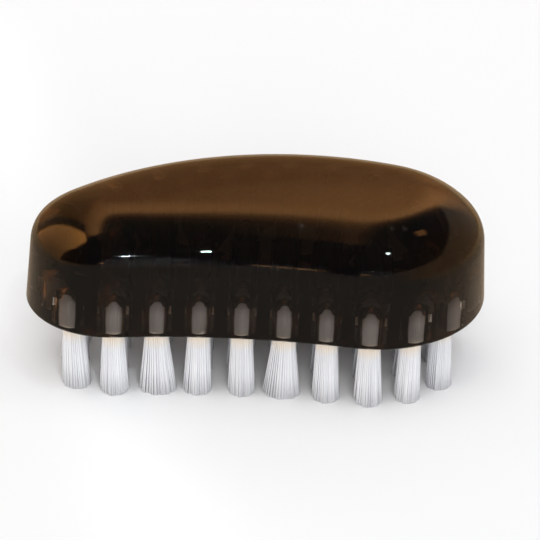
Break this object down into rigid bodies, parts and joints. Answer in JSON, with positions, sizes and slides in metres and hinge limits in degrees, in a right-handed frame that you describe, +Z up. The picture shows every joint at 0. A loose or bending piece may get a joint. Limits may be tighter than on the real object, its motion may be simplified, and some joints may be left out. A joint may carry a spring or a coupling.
{
  "type": "nail brush",
  "caption": "Palm nail brush: a glossy bean-shaped block of see-through smoke-brown plastic with white bristle tufts set in its underside.",
  "frame": {"origin": "middle of the brush in plan, on the plane of the bristle tips", "axes": "+Z up from the bristle tips to the block's top, +X along the block towards its broad end, +Y towards its convex back"},
  "size_m": [0.0848, 0.0446, 0.035],
  "materials": {
    "smoke_plastic": "polished, see-through smoke brown",
    "nylon_bristle": "satin white nylon filament",
    "staple_metal": "drawn flat wire"
  },
  "bodies": {
    "root": {"brush_body": "smoke_plastic", "staple_anchors": "staple_metal", "tuft_01": "nylon_bristle", "tuft_02": "nylon_bristle", "tuft_03": "nylon_bristle", "tuft_04": "nylon_bristle", "tuft_05": "nylon_bristle", "tuft_06": "nylon_bristle", "tuft_07": "nylon_bristle", "tuft_08": "nylon_bristle", "tuft_09": "nylon_bristle", "tuft_10": "nylon_bristle", "tuft_11": "nylon_bristle", "tuft_12": "nylon_bristle", "tuft_13": "nylon_bristle", "tuft_14": "nylon_bristle", "tuft_15": "nylon_bristle", "tuft_16": "nylon_bristle", "tuft_17": "nylon_bristle", "tuft_18": "nylon_bristle", "tuft_19": "nylon_bristle", "tuft_20": "nylon_bristle", "tuft_21": "nylon_bristle", "tuft_22": "nylon_bristle", "tuft_23": "nylon_bristle", "tuft_24": "nylon_bristle", "tuft_25": "nylon_bristle", "tuft_26": "nylon_bristle", "tuft_27": "nylon_bristle", "tuft_28": "nylon_bristle", "tuft_29": "nylon_bristle", "tuft_30": "nylon_bristle", "tuft_31": "nylon_bristle", "tuft_32": "nylon_bristle", "tuft_33": "nylon_bristle", "tuft_34": "nylon_bristle", "tuft_35": "nylon_bristle", "tuft_36": "nylon_bristle", "tuft_37": "nylon_bristle", "tuft_38": "nylon_bristle", "tuft_39": "nylon_bristle", "tuft_40": "nylon_bristle", "tuft_41": "nylon_bristle", "tuft_42": "nylon_bristle", "tuft_43": "nylon_bristle", "tuft_44": "nylon_bristle"}
  },
  "joints": []
}
